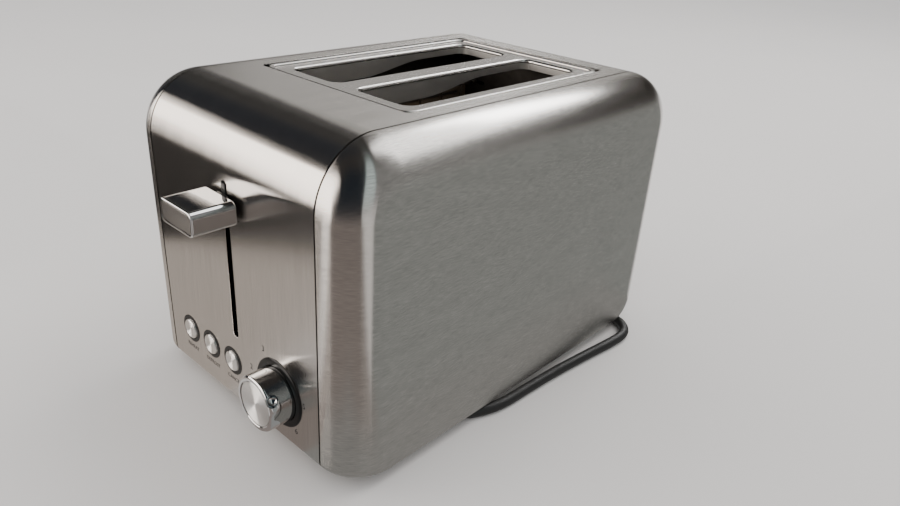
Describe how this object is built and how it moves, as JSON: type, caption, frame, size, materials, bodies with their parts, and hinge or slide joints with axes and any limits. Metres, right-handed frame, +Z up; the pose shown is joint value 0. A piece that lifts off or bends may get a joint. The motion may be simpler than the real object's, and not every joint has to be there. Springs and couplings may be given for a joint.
{
  "type": "bread toaster",
  "caption": "Toaster with long bread slots, a front lever, browning dial, push buttons, sliding crumb tray and cord storage under its base.",
  "frame": {"origin": "under the middle of the toaster's own box, at the feet's lower faces, cord left out", "axes": "+Z up, -Y towards the user, where the lever and controls are, +X to the user's right"},
  "size_m": [0.2035, 0.3124, 0.1834],
  "materials": {
    "brushed_skin": "brushed stainless sheet",
    "satin_trim": "satin stainless",
    "polished_lining": "polished stainless",
    "chrome_plating": "polished plating",
    "spun_cap": "spun face",
    "black_plastic": "fine matt moulding",
    "rubber_black": "matt rubber",
    "cord_sheath": "smooth flexible sheath",
    "zinc_sheet": "zinc-coated sheet",
    "plated_wire": "plated wire",
    "mica": "mica sheet",
    "resistance_ribbon": "drawn ribbon",
    "spring_steel": "drawn wire",
    "soft_iron": "ground",
    "copper_winding": "enamelled winding",
    "circuit_board": "phenolic laminate",
    "pale_plastic": "moulded",
    "plated_brass": "plated",
    "screw_steel": "zinc plated"
  },
  "bodies": {
    "housing": {"wrap_panel": "brushed_skin", "right_side_panel": "brushed_skin", "left_side_panel": "brushed_skin", "seam_frame_right": "black_plastic", "seam_frame_left": "black_plastic", "trim_plate": "satin_trim", "slot_chutes": "polished_lining", "base_pan": "black_plastic", "feet": "rubber_black", "case_screws": "screw_steel", "front_end_plate": "zinc_sheet", "rear_end_plate": "zinc_sheet", "heat_shield_right": "zinc_sheet", "heat_shield_left": "zinc_sheet", "heater_card_right": "mica", "heater_card_centre": "mica", "heater_card_left": "mica", "heater_ribbons": "resistance_ribbon", "tray_rails": "zinc_sheet", "lever_slot_guard": "black_plastic", "guide_rod": "plated_wire", "rod_bracket": "zinc_sheet", "magnet_yoke": "soft_iron", "magnet_coil": "copper_winding", "control_board": "circuit_board", "board_posts": "black_plastic", "chassis_screws": "screw_steel", "push_switches": "pale_plastic", "potentiometer": "pale_plastic", "button_bezels": "black_plastic", "knob_bezel": "black_plastic", "terminal_block": "pale_plastic", "strain_relief": "rubber_black", "power_cord": "cord_sheath", "plug_body": "rubber_black", "plug_pins": "plated_brass", "lift_spring": "spring_steel"},
    "lever_carriage": {"carriage": "zinc_sheet", "lever_arm": "black_plastic", "lever_collar": "black_plastic", "lever_knob": "chrome_plating", "lever_inset": "spun_cap", "armature": "soft_iron", "bread_rack_right": "zinc_sheet", "bread_rack_left": "zinc_sheet"},
    "guides_rightward": {"guide_bar_upper": "zinc_sheet", "guide_cage_far_left": "plated_wire", "guide_cage_near_right": "plated_wire"},
    "guides_leftward": {"guide_bar_lower": "zinc_sheet", "guide_cage_near_left": "plated_wire", "guide_cage_far_right": "plated_wire"},
    "browning_dial": {"browning_knob": "chrome_plating", "knob_face": "spun_cap", "knob_shaft": "pale_plastic"},
    "reheat_key": {"button_reheat": "spun_cap"},
    "defrost_key": {"button_defrost": "spun_cap"},
    "cancel_key": {"button_cancel": "spun_cap"},
    "tray": {"crumb_tray": "zinc_sheet", "tray_pull": "black_plastic"}
  },
  "joints": [
    {"name": "lever_slide", "type": "slide", "parent": "housing", "child": "lever_carriage", "axis": [0, 0, -1], "range_m": [0, 0.066], "stiffness_N_per_m": 100, "springref_m": -0.05, "deforming": ["lift_spring"]},
    {"name": "rightward_guides_slide", "type": "slide", "parent": "housing", "child": "guides_rightward", "axis": [1, 0, 0], "range_m": [0, 0.008]},
    {"name": "leftward_guides_slide", "type": "slide", "parent": "housing", "child": "guides_leftward", "axis": [-1, 0, 0], "range_m": [0, 0.008]},
    {"name": "browning_turn", "type": "hinge", "parent": "housing", "child": "browning_dial", "pos_m": [0.0385, -0.12975, 0.0395], "axis": [0, 1, 0], "range_deg": [-198, 82]},
    {"name": "reheat_press", "type": "slide", "parent": "housing", "child": "reheat_key", "axis": [0, 1, 0], "range_m": [0, 0.002], "stiffness_N_per_m": 400, "springref_m": -0.0005},
    {"name": "defrost_press", "type": "slide", "parent": "housing", "child": "defrost_key", "axis": [0, 1, 0], "range_m": [0, 0.002], "stiffness_N_per_m": 400, "springref_m": -0.0005},
    {"name": "cancel_press", "type": "slide", "parent": "housing", "child": "cancel_key", "axis": [0, 1, 0], "range_m": [0, 0.002], "stiffness_N_per_m": 400, "springref_m": -0.0005},
    {"name": "tray_slide", "type": "slide", "parent": "housing", "child": "tray", "axis": [0, 1, 0], "range_m": [0, 0.19]}
  ],
  "couplings": [
    {"joint": "rightward_guides_slide", "follows": "lever_slide", "ratio": 0.1212},
    {"joint": "leftward_guides_slide", "follows": "lever_slide", "ratio": 0.1212}
  ]
}
